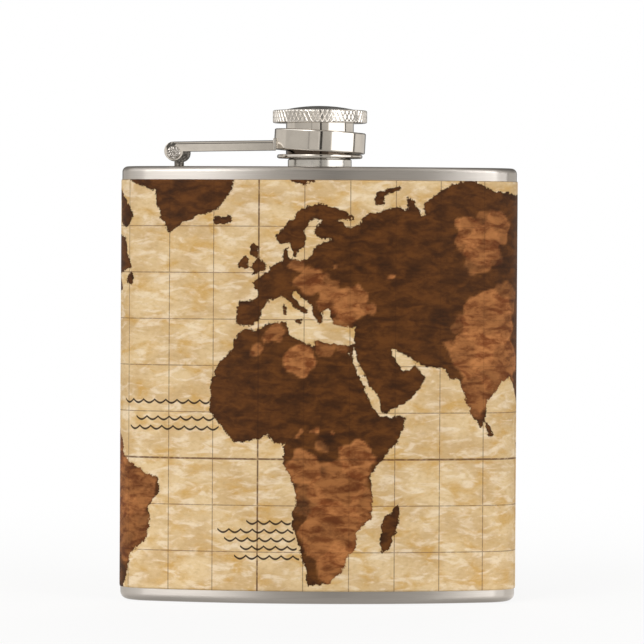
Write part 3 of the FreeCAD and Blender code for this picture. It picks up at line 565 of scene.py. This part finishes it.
def printed_leatherette():
    """Antique map print: parchment sea, dark stained land, ruled lines and sea marks."""
    made, g = material("printed_leatherette")
    sheet = g.attribute("sheet_mm").outputs["Vector"]
    coast = g.attribute("coast").outputs["Fac"]
    stain = g.attribute("stain").outputs["Fac"]
    scorch = g.attribute("scorch").outputs["Fac"]
    across, up, _ = g.parts(sheet)

    # parchment: soft golden patches, pale wisps drawn out at a slant and fine fibre
    cloud = g.noise(g.stretch(sheet, (0.09, 0.13, 1)), 1.0, 3.0, 0.5, 0.3)
    gold = g.noise(g.stretch(sheet, (0.15, 0.27, 1), place=(7, 3, 0), turn=(0, 0, 0.35)),
                   1.0, 5.0, 0.58, 0.5)
    pale = g.noise(g.stretch(sheet, (0.20, 0.50, 1), place=(2, 8, 0), turn=(0, 0, -0.30)),
                   1.0, 4.0, 0.55, 0.6)
    fibre = g.noise(g.stretch(sheet, (0.8, 1.5, 1), turn=(0, 0, 0.25)), 1.0, 5.0, 0.6)
    sea = g.mix(g.step(cloud, 0.35, 0.65), SEA_LIGHT, SEA_MIDDLE)
    sea = g.mix(g.times(g.step(gold, 0.46, 0.68), 0.72), sea, SEA_GOLD)
    sea = g.mix(g.times(g.step(pale, 0.47, 0.68), 0.62), sea, SEA_PALE)
    sea = g.mix(g.times(g.step(fibre, 0.52, 0.30), 0.26), sea, SEA_DEEP)
    sea = g.mix(g.times(g.step(fibre, 0.55, 0.75), 0.35), sea, SEA_PALE)

    # land: ragged coasts, dark brown with soft streaks, stains and scorches
    ragged = g.noise(sheet, 0.62, 8.0, 0.66)
    fine = g.noise(sheet, 2.6, 4.0, 0.6)
    shift = g.plus(g.times(g.minus(ragged, 0.5), 2.8), g.times(g.minus(fine, 0.5), 0.9))
    edge = g.plus(coast, shift)
    land_mask = g.step(edge, -0.10, 0.12)
    rim = g.times(g.step(edge, -0.05, 0.12), g.step(edge, 0.65, 0.15))
    stroke = g.noise(g.stretch(sheet, (0.22, 0.50, 1), turn=(0, 0, 0.45)), 1.0, 4.0, 0.55, 0.6)
    grit = g.noise(g.stretch(sheet, (0.9, 1.5, 1)), 1.0, 5.0, 0.6)
    patch = g.noise(g.stretch(sheet, (0.16, 0.22, 1), place=(3, 9, 0)), 1.0, 5.0, 0.6)
    painted = g.plus(g.times(stroke, 0.75), g.times(grit, 0.25))
    land = g.mix(g.step(painted, 0.34, 0.66), LAND_DARK, LAND_WARM)
    land = g.mix(g.times(g.step(patch, 0.50, 0.70), 0.5), land, LAND_DEEP)
    wet = g.times(stain, g.step(patch, 0.72, 0.40, 0.75, 1.12))
    rust = g.mix(g.step(painted, 0.36, 0.62), LAND_RUST, LAND_TAN)
    land = g.mix(g.math("MINIMUM", wet, 1.0), land, rust)
    smudge = g.times(scorch, g.step(grit, 0.30, 0.60, 0.4, 1.2))
    land = g.mix(g.math("MINIMUM", smudge, 1.0), land, LAND_DEEP)
    land = g.mix(g.times(rim, 0.35), land, LAND_DEEP)

    def line(position, start, spacing, half):
        """Ruled lines, spaced evenly, of a given half width."""
        cell = g.math("DIVIDE", g.minus(position, start), spacing)
        nearest = g.math("ABSOLUTE", g.minus(cell, g.math("ROUND", cell)))
        return g.step(g.times(nearest, spacing), half + RULE_SOFT, half)

    def single(position, start, half):
        return g.step(g.math("ABSOLUTE", g.minus(position, start)), half + RULE_SOFT, half)

    rules = g.math("MAXIMUM", line(across, GRID_MERIDIAN, GRID_ACROSS, RULE_HALF),
                   line(up, MAP_EQUATOR, GRID_UP, RULE_HALF))
    bold = g.math("MAXIMUM", single(across, GRID_MERIDIAN, MERIDIAN_HALF),
                  single(up, MAP_EQUATOR, EQUATOR_HALF))
    rules = g.times(g.math("MAXIMUM", g.times(rules, 0.72), bold), 0.85)
    worn = g.step(g.noise(sheet, 0.9, 3.0, 0.6), 0.25, 0.55, 0.45, 1.0)
    sea = g.mix(g.times(rules, worn), sea, LINE_BROWN)
    land = g.mix(g.times(rules, 0.3), land, LAND_DEEP)

    marks = None
    for start, end, height in SEA_MARKS:
        phase = g.times(g.minus(across, start), math.pi / MARK_LENGTH)
        dip = g.times(g.math("ABSOLUTE", g.math("SINE", phase)), MARK_HEIGHT)
        off = g.math("ABSOLUTE", g.plus(g.minus(up, height), dip))
        between = g.times(g.math("GREATER_THAN", across, start), g.math("LESS_THAN", across, end))
        drawn = g.times(g.step(off, MARK_HALF + MARK_SOFT, MARK_HALF), between)
        marks = drawn if marks is None else g.math("MAXIMUM", marks, drawn)
    sea = g.mix(g.times(marks, 0.95), sea, MARK_BROWN)

    colour = g.mix(land_mask, sea, land)
    grain = g.node("ShaderNodeTexVoronoi", {"Scale": 2.6, "Randomness": 1.0},
                   feature="SMOOTH_F1")
    g.put(grain.inputs["Vector"], sheet)
    pebble = grain.outputs["Distance"]
    crease = g.noise(g.stretch(sheet, (0.35, 1.3, 1)), 1.0, 6.0, 0.6)
    normal = g.bump(crease, 0.18, 0.00010, g.bump(pebble, 0.22, 0.00006))
    rough = g.plus(g.times(fibre, 0.18), 0.46)
    g.principled(Base_Color=colour, Roughness=rough, Specular_IOR_Level=0.15, Normal=normal)
    return made


def cut_edge():
    """Bare edge of the sleeve, where the backing shows."""
    made, g = material("sleeve_cut_edge")
    where = g.place()
    fray = g.noise(where, 4000.0, 3.0, 0.6)
    tint = g.mix(fray, srgb(222, 206, 176), srgb(176, 148, 108))
    g.principled(Base_Color=tint, Roughness=g.plus(g.times(fray, 0.1), 0.75))
    return made


# ------------------------------------------------------------------ piece helpers
CREASE = math.radians(40)


def new_object(name, data):
    made = bpy.data.objects.new(name, data)
    bpy.context.scene.collection.objects.link(made)
    return made


def new_piece(name, mesh, body, slot, *replaced):
    piece = new_object(name, mesh)
    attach(piece, body)
    if replaced:
        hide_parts(*replaced)
    return piece


def lathe(profile, segments, raised=None):
    """Vertices and faces of a profile (radius, along) spun about local Z.

    raised(step, row) adds to the radius there. Rows of radius 0 become a single point."""
    vertices, rings, faces = [], [], []
    for row, (radius, along) in enumerate(profile):
        if radius < 1e-9:
            rings.append([len(vertices)] * segments)
            vertices.append((0.0, 0.0, along))
            continue
        ring = []
        for k in range(segments):
            turn = 2 * math.pi * k / segments
            r = radius + (raised(k, row) if raised else 0.0)
            ring.append(len(vertices))
            vertices.append((r * math.cos(turn), r * math.sin(turn), along))
        rings.append(ring)
    for lower, upper in zip(rings, rings[1:]):
        for k in range(segments):
            n = (k + 1) % segments
            corners = [lower[k], lower[n], upper[n], upper[k]]
            unique = list(dict.fromkeys(corners))
            if len(unique) > 2:
                faces.append(unique)
    return vertices, faces


def mesh_of(name, vertices, faces):
    mesh = bpy.data.meshes.new(name)
    mesh.from_pydata(vertices, [], faces)
    mesh.validate()
    mesh.shade_smooth()
    return mesh


def even_piece(name, mesh, finish, body, slot, node):
    """A piece that shades smoothly between sharp creases, its flat faces staying flat."""
    mesh.shade_smooth()
    mesh.set_sharp_from_angle(angle=CREASE)
    mesh.materials.append(finish)
    piece = new_piece(name, mesh, body, slot, node)
    even = piece.modifiers.new("even_normals", "WEIGHTED_NORMAL")
    even.keep_sharp = True
    return piece


# ------------------------------------------------------------------ printed sleeve
SLEEVE_STEP = 0.45 * MM
SLEEVE_SOFT = 0.06 * MM


def printed_sleeve():
    """The sleeve as a fine grid that carries the map's distance fields."""
    outer, inner = Section(WRAP_THICK), Section(0.0)
    low, high = WRAP_LOW.z, WRAP_HIGH.z
    reach = outer.half - SEAM_GAP / 2
    columns = int(2 * reach / SLEEVE_STEP)
    rows = int((high - low) / SLEEVE_STEP)
    lengths = np.linspace(-reach, reach, columns + 1)
    heights = np.linspace(low, high, rows + 1)
    vertices, sheet = [], []
    for length in lengths:
        point, normal = outer.at(length)
        for row, height in enumerate(heights):
            pull = SLEEVE_SOFT if row in (0, rows) else 0.0
            vertices.append((point.x - normal.x * pull, point.y - normal.y * pull, height))
            sheet.append((length / MM, height / MM, 0.0))
    outside = len(vertices)
    for length in lengths:
        point, _ = inner.at(length * inner.half / outer.half)
        for height in (low, high):
            vertices.append((point.x, point.y, height))
            sheet.append((length / MM, height / MM, 0.0))
    faces, edge_faces = [], []
    tall = rows + 1
    for c in range(columns):
        a, b = c * tall, (c + 1) * tall
        for r in range(rows):
            faces.append((a + r, b + r, b + r + 1, a + r + 1))
    printed = len(faces)
    for c in range(columns):
        a, b = c * tall, (c + 1) * tall
        i, j = outside + 2 * c, outside + 2 * c + 2
        edge_faces += [(i, j, b, a), (a + rows, b + rows, j + 1, i + 1), (i, i + 1, j + 1, j)]
    first = [r for r in range(tall)]
    last = [columns * tall + r for r in range(tall)]
    edge_faces.append(tuple(first + [outside + 1, outside]))
    edge_faces.append(tuple(last[::-1] + [outside + 2 * columns, outside + 2 * columns + 1]))
    mesh = bpy.data.meshes.new("printed_sleeve")
    mesh.from_pydata(vertices, [], faces + edge_faces)
    mesh.shade_smooth()
    mesh.materials.append(printed_leatherette())
    mesh.materials.append(cut_edge())
    for face in mesh.polygons[printed:]:
        face.material_index = 1
        face.use_smooth = False
    sheet = np.array(sheet)
    flat = sheet[:, :2]
    fields = [("coast", land_distance(flat)), ("stain", washed(flat, STAINS, STAIN_EDGE)),
              ("scorch", washed(flat, SCORCHES, SCORCH_EDGE))]
    for name, values in fields:
        layer = mesh.attributes.new(name, "FLOAT", "POINT")
        layer.data.foreach_set("value", values.astype(np.float32))
    layer = mesh.attributes.new("sheet_mm", "FLOAT_VECTOR", "POINT")
    layer.data.foreach_set("vector", sheet.astype(np.float32).ravel())
    return new_piece("printed_sleeve", mesh, "flask", "printed_leatherette", "vinyl_wrap")


# ------------------------------------------------------------------ pressed plates
PLATE_SHEET = 0.55 * MM
STRETCH_COUNTS = (70, 44, 14, 44, 66)
NECK_HOLE = 6.4 * MM
TOP_EDGE = 1.3 * MM
BASE_EDGE = 1.7 * MM
BORDER = 0.8 * MM
RIM_SOFT = 0.08 * MM
BEND_STEPS = 10


def pressed_plate(name, node, rim_z, face_z, edge, finish, hole=None):
    """A pan of sheet steel lofted round the kidney outline, with a rolled outer edge.

    The rim is its open end and the face its closed one, with a hole on the neck axis if
    a radius is given. Rings run up the outside, then back down the inside."""
    up = 1 if face_z > rim_z else -1
    inner_edge = edge - PLATE_SHEET
    bend = [k / BEND_STEPS * math.pi / 2 for k in range(BEND_STEPS + 1)]
    outside = [(-RIM_SOFT, rim_z), (0.0, rim_z + up * RIM_SOFT)]
    outside += [(-edge * (1 - math.cos(a)), face_z - up * edge * (1 - math.sin(a))) for a in bend]
    outside.append((-edge - BORDER, face_z))
    inside = [(-edge - BORDER, face_z - up * PLATE_SHEET)]
    inside += [(-PLATE_SHEET - inner_edge * (1 - math.cos(a)),
                face_z - up * (PLATE_SHEET + inner_edge * (1 - math.sin(a)))) for a in bend[::-1]]
    inside += [(-PLATE_SHEET, rim_z)]
    rings = [[(p.x, p.y, z) for p in Section(out).stations(STRETCH_COUNTS)] for out, z in outside]
    under = [[(p.x, p.y, z) for p in Section(out).stations(STRETCH_COUNTS)] for out, z in inside]
    around = len(rings[0])
    if hole:
        turns = [math.atan2(y - NECK_AXIS.y, x) for x, y, _ in rings[-1]]
        lip = [(hole * math.cos(t), NECK_AXIS.y + hole * math.sin(t)) for t in turns]
        rings.append([(x, y, face_z) for x, y in lip])
        under.insert(0, [(x, y, face_z - up * PLATE_SHEET) for x, y in lip])
    middle = len(rings) - 1
    loops = rings + under
    vertices = [v for ring in loops for v in ring]
    faces = []
    for ring in range(len(loops)):
        a, b = ring * around, (ring + 1) % len(loops) * around
        if not hole and ring == middle:
            faces += [tuple(a + k for k in range(around)), tuple(b + k for k in range(around))]
            continue
        for k in range(around):
            n = (k + 1) % around
            faces.append((a + k, a + n, b + n, b + k))
    mesh = mesh_of(name, vertices, faces)
    bm = bmesh.new()
    bm.from_mesh(mesh)
    bmesh.ops.recalc_face_normals(bm, faces=bm.faces)
    bm.to_mesh(mesh)
    bm.free()
    return even_piece(name, mesh, finish, "flask", "satin_steel", node)


# ------------------------------------------------------------------ knurled head
KNURL_STARTS = 62
KNURL_SAMPLES = 20
KNURL_DEPTH = 0.13 * MM
KNURL_ANGLE = math.radians(26)
KNURL_LOW = 0.10 * MM
KNURL_HIGH = 2.86 * MM
KNURL_PEAK = 3.2
FADE_ROWS = 3
FADE_FROM = 0.4


def knurled_head():
    """Cap head with a cut diamond knurl between a lower chamfer and a plain shoulder."""
    radius = (HEAD_HIGH.x - HEAD_LOW.x) / 2
    base = HEAD_LOW.z
    pitch = 2 * math.pi * radius / KNURL_STARTS
    row_step = pitch / KNURL_SAMPLES / math.tan(KNURL_ANGLE)
    rows = int((KNURL_HIGH - KNURL_LOW) / row_step)
    profile = [(0.0, 0.37 * MM), (7.9 * MM, 0.37 * MM), (7.9 * MM, 0.0), (radius - 0.34 * MM, 0.0),
               (radius - 0.22 * MM, 0.02 * MM)]
    first = len(profile)
    for row in range(rows + 1):
        profile.append((radius, KNURL_LOW + row * (KNURL_HIGH - KNURL_LOW) / rows))
    last = len(profile) - 1
    profile += [(radius - 0.22 * MM, 2.93 * MM), (radius - 0.34 * MM, 2.96 * MM),
                (radius - 0.75 * MM, 2.99 * MM), (9.4 * MM, 3.05 * MM), (8.3 * MM, 3.07 * MM),
                (8.12 * MM, 3.03 * MM), (8.1 * MM, 2.27 * MM), (0.0, 2.27 * MM)]
    segments = KNURL_STARTS * KNURL_SAMPLES

    def depth(k, row):
        if row < first or row > last:
            return 0.0
        climb = (row - first) / KNURL_SAMPLES
        turn = k / KNURL_SAMPLES
        left = abs((turn + climb) % 1.0 - 0.5) * 2
        right = abs((turn - climb) % 1.0 - 0.5) * 2
        peak = min(1.0, KNURL_PEAK * min(1 - left, 1 - right))
        fade = min(1.0, (row - first) / FADE_ROWS + FADE_FROM, (last - row) / FADE_ROWS + FADE_FROM)
        return -KNURL_DEPTH * (1 - peak * fade)

    vertices, faces = lathe(profile, segments, depth)
    vertices = [(x + NECK_AXIS.x, y + NECK_AXIS.y, z + base) for x, y, z in vertices]
    mesh = mesh_of("knurled_head", vertices, faces)
    for face in mesh.polygons:
        if KNURL_LOW < face.center.z - base < KNURL_HIGH:
            face.use_smooth = False
    mesh.materials.append(steel_polished("knurled_steel", (0.86, 0.81, 0.745), 0.09))
    return new_piece("knurled_head", mesh, "cap", "polished_steel", "cap_head")


# ------------------------------------------------------------------ rounded copies of CAD pieces
SHARP = math.radians(32)
FLAT = math.radians(0.5)
SAME_PLACE = 1e-7
FOLD_SEGMENTS = 8


def rounded_copy(node, name, body, slot, finish, width, segments=3, test=None, wide=None, cuts=()):
    """A CAD node's shape with its sharp edges rounded.

    It is first cut across at the X places in cuts, so that long faces shade evenly. Edges
    that pass test are rounded to the wider radius first."""
    source = NODES[node].data
    bm = bmesh.new()
    bm.from_mesh(source)
    bmesh.ops.remove_doubles(bm, verts=bm.verts, dist=SAME_PLACE)
    bmesh.ops.dissolve_limit(bm, angle_limit=FLAT, verts=bm.verts, edges=bm.edges)
    for place in cuts:
        bmesh.ops.bisect_plane(bm, geom=bm.verts[:] + bm.edges[:] + bm.faces[:], dist=SAME_PLACE,
                               plane_co=(place, 0, 0), plane_no=(1, 0, 0))

    def sharp(edge):
        return len(edge.link_faces) == 2 and edge.calc_face_angle() > SHARP

    if test:
        chosen = [edge for edge in bm.edges if sharp(edge) and test(edge)]
        bmesh.ops.bevel(bm, geom=chosen, offset=wide, segments=FOLD_SEGMENTS, profile=0.5, affect="EDGES")
    chosen = [edge for edge in bm.edges if sharp(edge)]
    bmesh.ops.bevel(bm, geom=chosen, offset=width, segments=segments, profile=0.5,
                    affect="EDGES", clamp_overlap=True)
    mesh = bpy.data.meshes.new(name)
    bm.to_mesh(mesh)
    bm.free()
    return even_piece(name, mesh, finish, body, slot, node)


ARM_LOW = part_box("captive_arm")[0]
ARM_CUTS = [ARM_LOW.x + step * MM for step in range(3, 26)]
ARM_HALF = 3.0 * MM
ARM_TOP_FROM = 1.5 * MM


def long_fold(edge):
    """The two outer folds along the top of the arm."""
    a, b = (vertex.co for vertex in edge.verts)
    middle = (a + b) / 2
    outer = abs(abs(middle.y - NECK_AXIS.y) - ARM_HALF) < 0.02 * MM
    level = abs(a.z - b.z) < 0.05 * abs(a.x - b.x)
    return outer and level and middle.z > PIVOT.z + ARM_TOP_FROM


# ------------------------------------------------------------------ peened rivet
RIVET_FACE = 3.03 * MM
RIVET_SHANK = 0.7 * MM
RIVET_RINGS = 20
RIVET_SEGMENTS = 96
BLOW_SIZE = 0.42 * MM
BLOW_DEEP = 0.20 * MM
BLOW_ROUGH = 0.06 * MM


def peened_rivet():
    """Rivet through the hinge, both ends hammered into rough domes."""
    half = (PIN_HIGH.y - PIN_LOW.y) / 2
    radius = (PIN_HIGH.z - PIN_LOW.z) / 2
    dome = []
    for k in range(RIVET_RINGS + 1):
        turn = k / RIVET_RINGS * math.pi / 2
        lift = (half - RIVET_FACE) * math.cos(turn) ** 0.6
        dome.append((radius * math.sin(turn), RIVET_FACE + lift))
    profile = [(r, -y) for r, y in dome]
    profile += [(RIVET_SHANK, -RIVET_FACE), (RIVET_SHANK, RIVET_FACE)] + dome[::-1]
    vertices, faces = lathe(profile, RIVET_SEGMENTS)
    dented = []
    for x, y, z in vertices:
        spot = Vector((x, y, z)) / BLOW_SIZE
        ring = math.hypot(x, y)
        if abs(z) > RIVET_FACE and ring > 0.05 * MM:
            cell = noise.voronoi(spot)[0][0]
            rough = noise.turbulence(spot * 1.6, 3, True)
            depth = BLOW_DEEP * max(0.0, 1 - cell * 1.5) + BLOW_ROUGH * rough
            z = math.copysign(max(abs(z) - depth, RIVET_FACE + 0.02 * MM), z)
        dented.append((x + PIVOT.x, z + PIVOT.y, -y + PIVOT.z))
    mesh = mesh_of("peened_rivet", dented, faces)
    mesh.materials.append(hammered_steel())
    return new_piece("peened_rivet", mesh, "rivet", "polished_steel", "hinge_pin")


# ------------------------------------------------------------------ stage, light and camera
FLOOR_HALF = 0.8
FLOOR_Z = -0.1 * MM
# What the steel sees of the floor: a level, more to the left and right, less behind.
FLOOR_LEVEL = 0.46
FLOOR_LEFT = 0.32
FLOOR_RIGHT = 0.12
FLOOR_CORNER = 0.40
FLOOR_BEHIND = -0.30


def stage_floor():
    """Pale floor just under the base, clear when seen from below.

    The camera sees it nearly white; reflections and light see it dimmer, in pools that
    depend on the direction from the flask and stop at the edge of its footprint."""
    corners = [(-1, -1), (1, -1), (1, 1), (-1, 1)]
    mesh = mesh_of("floor", [(FLOOR_HALF * x, FLOOR_HALF * y, FLOOR_Z) for x, y in corners],
                   [(0, 1, 2, 3)])
    floor = new_object("floor", mesh)
    made, g = material("studio_floor")
    where = g.place()
    x, y, _ = g.parts(where)
    away = g.length(x, y)
    speck = g.noise(where, 60.0, 3.0, 0.5)
    tint = g.mix(speck, (0.90, 0.90, 0.895, 1), (0.93, 0.93, 0.925, 1))
    near = g.node("ShaderNodeBsdfDiffuse", {"Color": tint})
    glow = g.node("ShaderNodeEmission", {"Color": (1, 1, 1, 1), "Strength": 1.0})
    turn = g.times(g.heading(x, y), 180 / math.pi)
    pool = g.plus(g.times(g.step(turn, -30, -55), FLOOR_LEFT),
                  g.plus(g.times(g.step(turn, 40, 58), FLOOR_RIGHT),
                         g.times(g.step(turn, 62, 68), FLOOR_CORNER)))
    wide = g.times(y, 3.0)
    beside = g.length(x, wide)
    pool = g.plus(pool, g.times(g.step(g.math("ABSOLUTE", turn), 100, 140), FLOOR_BEHIND))
    pool = g.times(pool, g.step(beside, 0.042, 0.052))
    level = g.plus(g.times(pool, g.step(away, 0.4, 0.2)), FLOOR_LEVEL)
    dim = g.node("ShaderNodeEmission", {"Color": (1.0, 0.97, 0.93, 1), "Strength": level})
    bright = g.blend(g.step(away, 0.05, 0.40, 0.86, 1.0), near, glow)
    seen = g.node("ShaderNodeLightPath").outputs["Is Camera Ray"]
    above = g.blend(seen, dim, bright)
    behind = g.node("ShaderNodeNewGeometry").outputs["Backfacing"]
    g.output(g.blend(behind, above, g.node("ShaderNodeBsdfTransparent")))
    mesh.materials.append(made)


LEVEL_SCALE = 4.5
# Sine of the height at which the panels and the ceiling fade in.
PANELS_FROM = (0.14, 0.22)
OVERHEAD_FROM = (0.58, 0.72)
OVERHEAD_LEVEL = 0.62
OVERHEAD_BEHIND = 0.18

# Brightness round the horizon, by degrees from the camera towards the right.
# First what stands level with the flask, then the panels that hang above it.
LEVEL_BAND = [
    (-180, 0.10), (-158, 0.12), (-146, 0.64), (-98, 0.70), (-95, 0.56), (-30, 0.56), (-29, 0.36),
    (-27, 0.36), (-26, 0.58), (-3.4, 0.60), (-2.8, 0.80), (-0.2, 0.80), (0.1, 0.04), (5.6, 0.04),
    (6.2, 0.50), (28, 0.54), (31.5, 1.75), (93, 1.75), (95, 0.12), (99, 0.12), (101, 0.76),
    (150, 0.68), (166, 0.12)]
PANEL_BAND = [
    (-180, 0.14), (-130, 0.30), (-100, 1.2), (-60, 1.7), (-44, 2.8), (-40, 4.2), (-27, 4.2),
    (-21, 2.2), (-12, 0.50), (-5, 0.10), (3, 0.12), (9, 0.28), (37, 0.32), (41, 3.6), (54, 3.0),
    (64, 0.7), (110, 0.4), (150, 0.14)]


def horizon_ramp(g, turn, band):
    """Levels by turn round the horizon, 0 to 1, as one ramp."""
    ramp = g.node("ShaderNodeValToRGB", {"Fac": turn})
    stops = ramp.color_ramp.elements
    while len(stops) > 1:
        stops.remove(stops[-1])
    for count, (angle, level) in enumerate(band):
        stop = stops[0] if count == 0 else stops.new((angle + 180) / 360)
        stop.position = (angle + 180) / 360
        stop.color = (level / LEVEL_SCALE,) * 3 + (1.0,)
    return g.times(ramp.outputs["Color"], LEVEL_SCALE)


def studio_world():
    """Soft surroundings: grey level with the flask, bright panels above, dark behind."""
    world = bpy.data.worlds.new("studio")
    bpy.context.scene.world = world
    world.use_nodes = True
    g = Graph(world.node_tree)
    x, y, z = g.parts(g.node("ShaderNodeTexCoord").outputs["Generated"])
    turn = g.plus(g.math("DIVIDE", g.heading(x, y), 2 * math.pi), 0.5)
    level = horizon_ramp(g, turn, LEVEL_BAND)
    panel = horizon_ramp(g, turn, PANEL_BAND)
    raised = g.step(z, *PANELS_FROM)
    overhead = g.step(z, *OVERHEAD_FROM)
    strength = g.plus(g.times(level, g.minus(1.0, raised)), g.times(panel, raised))
    ceiling = g.step(y, -0.25, 0.35, OVERHEAD_LEVEL, OVERHEAD_BEHIND)
    strength = g.plus(g.times(strength, g.minus(1.0, overhead)), g.times(overhead, ceiling))
    warm = g.mix(g.step(strength, 0.7, 1.4), (1.0, 0.965, 0.91, 1), (1.0, 1.0, 1.0, 1))
    seen = g.node("ShaderNodeLightPath").outputs["Is Camera Ray"]
    lit = g.node("ShaderNodeBackground", {"Color": warm, "Strength": strength})
    plain = g.node("ShaderNodeBackground", {"Color": (1, 1, 1, 1), "Strength": 1.0})
    g.output(g.blend(seen, lit, plain), "ShaderNodeOutputWorld")


FILLS = (("fill_left", (-0.9, -1.3, 0.7), 3.0), ("fill_right", (0.9, -1.3, 0.6), 3.0),
         ("fill_back", (0.2, 1.5, 0.8), 10.0))
FILL_SIZE = 1.0
FILL_AIM = Vector((0, 0, 0.05))


def soft_lights():
    """Large lights that fill the print evenly and stay out of the steel's reflections."""
    for name, place, power in FILLS:
        data = bpy.data.lights.new(name, "AREA")
        data.energy = power
        data.size = FILL_SIZE
        lamp = new_object(name, data)
        lamp.location = place
        lamp.rotation_euler = (FILL_AIM - lamp.location).to_track_quat("-Z", "Y").to_euler()
        lamp.visible_glossy = False
        lamp.visible_camera = False


CAMERA_AWAY = 1.0
FRAME_WIDTH = 150.8 * MM
EYE = Vector((0.75 * MM, -CAMERA_AWAY, 84 * MM))
AIM = Vector((0.75 * MM, 0.0, 65.2 * MM))
CAMERA_ROLL = math.radians(0.34)


def studio_camera():
    """A metre away and a little below the top plate, looking slightly down a long lens."""
    data = bpy.data.cameras.new("camera")
    data.sensor_width = 36.0
    data.lens = data.sensor_width * CAMERA_AWAY / FRAME_WIDTH
    data.clip_start, data.clip_end = 0.05, 50
    camera = new_object("camera", data)
    camera.location = EYE
    camera.rotation_euler = (AIM - EYE).to_track_quat("-Z", "Y").to_euler()
    camera.rotation_euler.rotate_axis("Z", CAMERA_ROLL)
    bpy.context.scene.camera = camera


def finish_node(node, finish):
    """Give a carried-over CAD node its material."""
    NODES[node].data.materials.clear()
    NODES[node].data.materials.append(finish)


# ------------------------------------------------------------------ build
stage_floor()
studio_world()
soft_lights()
studio_camera()

satin = steel_satin()
polished = steel_polished()
finish_node("body_wall", satin)
for node in ("swivel_collar", "cap_thread_insert", "retaining_flange"):
    finish_node(node, polished)
finish_node("neck_spout", steel_polished("turned_steel", (0.72, 0.69, 0.64), 0.16))
# The barrel is painted dark below GAP_TOP, as painted shade in the gap between collar and flange.
finish_node("cap_barrel", steel_polished("barrel_steel", painted_shade_top=GAP_TOP))
finish_node("cap_dome", steel_spun())
finish_node("cap_gasket", silicone())

printed_sleeve()
knurled_head()
peened_rivet()
pressed_plate("rolled_top", "top_plate", WALL_HIGH.z, PLATE_TOP, TOP_EDGE, satin, NECK_HOLE)
pressed_plate("rolled_base", "bottom_plate", WALL_LOW.z, 0.0, BASE_EDGE, satin)
rounded_copy("captive_arm", "arm_channel", "arm", "polished_steel", polished,
             0.06 * MM, test=long_fold, wide=0.70 * MM, cuts=ARM_CUTS)
# The post's material is painted darker, as painted shade for its place between the arm's ears.
rounded_copy("hinge_post", "post_lug", "flask", "polished_steel", steel_cast_painted_shade(), 0.25 * MM, 4)
rounded_copy("arm_braze", "braze_fillet", "arm", "braze", braze_silver(), 0.15 * MM, 3)

bpy.context.scene.view_settings.view_transform = "Standard"
